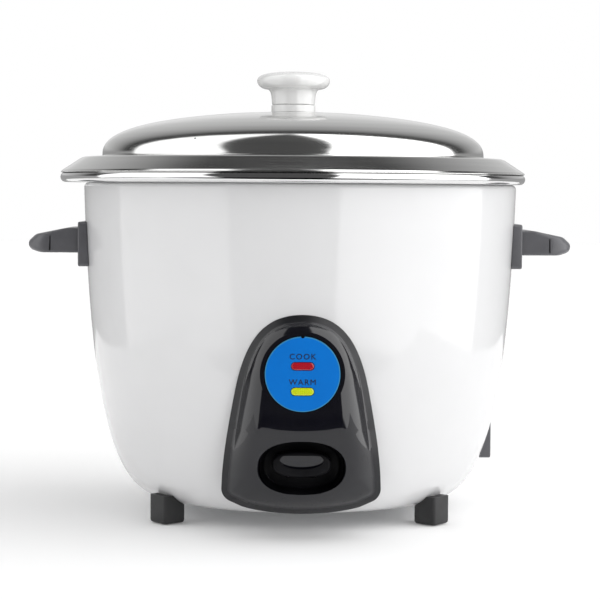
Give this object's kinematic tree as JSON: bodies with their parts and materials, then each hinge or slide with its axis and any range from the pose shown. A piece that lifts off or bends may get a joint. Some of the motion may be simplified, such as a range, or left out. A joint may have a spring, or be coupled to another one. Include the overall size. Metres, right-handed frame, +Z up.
{
  "type": "rice cooker",
  "caption": "Round drum rice cooker with lift-out pot, loose domed lid with a knob, side handles, corner feet and a front panel with lamps and a press-down cook lever.",
  "frame": {"origin": "centre of the footprint on the surface that the feet stand on, on the axis of the drum body", "axes": "+Z up, -Y out of the control panel, +X towards the side with the mains inlet, along the handles"},
  "size_m": [0.3322, 0.2848, 0.2685],
  "materials": {
    "white_paint": "gloss",
    "galvanised_steel": "satin",
    "polished_stainless": "polished",
    "bright_aluminium": "satin",
    "plated_steel": "satin",
    "gloss_white_plastic": "gloss",
    "gloss_black_plastic": "gloss",
    "blue_indicator": "satin",
    "red_lens": "gloss",
    "yellow_lens": "gloss",
    "lamp_board": "matte",
    "dark_plastic": "satin",
    "foot_plastic": "matte",
    "ferrite": "matte",
    "nickel_brass": "satin",
    "red_wire": "satin",
    "white_wire": "satin"
  },
  "bodies": {
    "base": {"base_plate": "galvanised_steel", "control_panel": "gloss_black_plastic", "foot_1": "foot_plastic", "foot_2": "foot_plastic", "foot_3": "foot_plastic", "foot_4": "foot_plastic", "foot_screw_1": "plated_steel", "foot_screw_2": "plated_steel", "foot_screw_3": "plated_steel", "foot_screw_4": "plated_steel", "handle_left": "dark_plastic", "handle_right": "dark_plastic", "handle_screw_left_front": "plated_steel", "handle_screw_left_rear": "plated_steel", "handle_screw_right_front": "plated_steel", "handle_screw_right_rear": "plated_steel", "heater_terminal_left": "plated_steel", "heater_terminal_right": "plated_steel", "heating_plate": "bright_aluminium", "indicator_disc": "blue_indicator", "inlet_pin_earth": "nickel_brass", "inlet_pin_line": "nickel_brass", "inlet_pin_neutral": "nickel_brass", "inlet_socket": "dark_plastic", "inner_liner": "galvanised_steel", "keep_warm_thermostat": "dark_plastic", "lamp_holder": "lamp_board", "lamp_lens_cook": "red_lens", "lamp_lens_warm": "yellow_lens", "lever_bracket": "plated_steel", "lever_pin": "plated_steel", "microswitch": "dark_plastic", "outer_shell": "white_paint", "panel_screw_left": "plated_steel", "panel_screw_right": "plated_steel", "plate_leg_1": "plated_steel", "plate_leg_2": "plated_steel", "plate_leg_3": "plated_steel", "plate_screw_1": "plated_steel", "plate_screw_2": "plated_steel", "plate_screw_3": "plated_steel", "sensor_bracket": "plated_steel", "sensor_spring": "plated_steel", "thermal_fuse": "plated_steel", "wire_heater": "white_wire", "wire_switch": "red_wire"},
    "pot": {"inner_pot": "bright_aluminium"},
    "lid": {"lid": "polished_stainless", "knob_collar": "gloss_white_plastic", "lid_knob": "gloss_white_plastic", "knob_screw": "plated_steel"},
    "switch": {"lever_arm": "plated_steel", "lever_paddle": "gloss_black_plastic"},
    "plunger": {"microswitch_plunger": "red_lens"},
    "sensor": {"sensor_cup": "bright_aluminium", "thermal_ferrite": "ferrite"},
    "magnet_lifter": {"magnet": "plated_steel", "magnet_rod": "nickel_brass", "magnet_spring": "plated_steel"}
  },
  "joints": [
    {"name": "pot_lift", "type": "slide", "parent": "base", "child": "pot", "axis": [0, 0, 1], "range_m": [0, 0.15]},
    {"name": "lid_lift", "type": "slide", "parent": "pot", "child": "lid", "axis": [0, 0, 1], "range_m": [0, 0.12]},
    {"name": "switch_press", "type": "hinge", "parent": "base", "child": "switch", "pos_m": [0, -0.071, 0.04], "axis": [1, 0, 0], "range_deg": [0, 4.5], "stiffness_Nm_per_rad": 1, "springref_deg": -3.44},
    {"name": "magnet_lift", "type": "slide", "parent": "base", "child": "magnet_lifter", "axis": [0, 0, 1], "range_m": [0, 0.0057], "deforming": ["magnet_spring"]},
    {"name": "plunger_press", "type": "slide", "parent": "base", "child": "plunger", "axis": [0, 0, -1], "range_m": [0, 0.0012]},
    {"name": "sensor_press", "type": "slide", "parent": "base", "child": "sensor", "axis": [0, 0, -1], "range_m": [0, 0.002], "stiffness_N_per_m": 600, "springref_m": -0.003, "deforming": ["sensor_spring"]}
  ],
  "couplings": [
    {"joint": "magnet_lift", "follows": "switch_press", "m_per_rad": 0.071},
    {"joint": "plunger_press", "follows": "switch_press", "m_per_rad": 0.014}
  ]
}
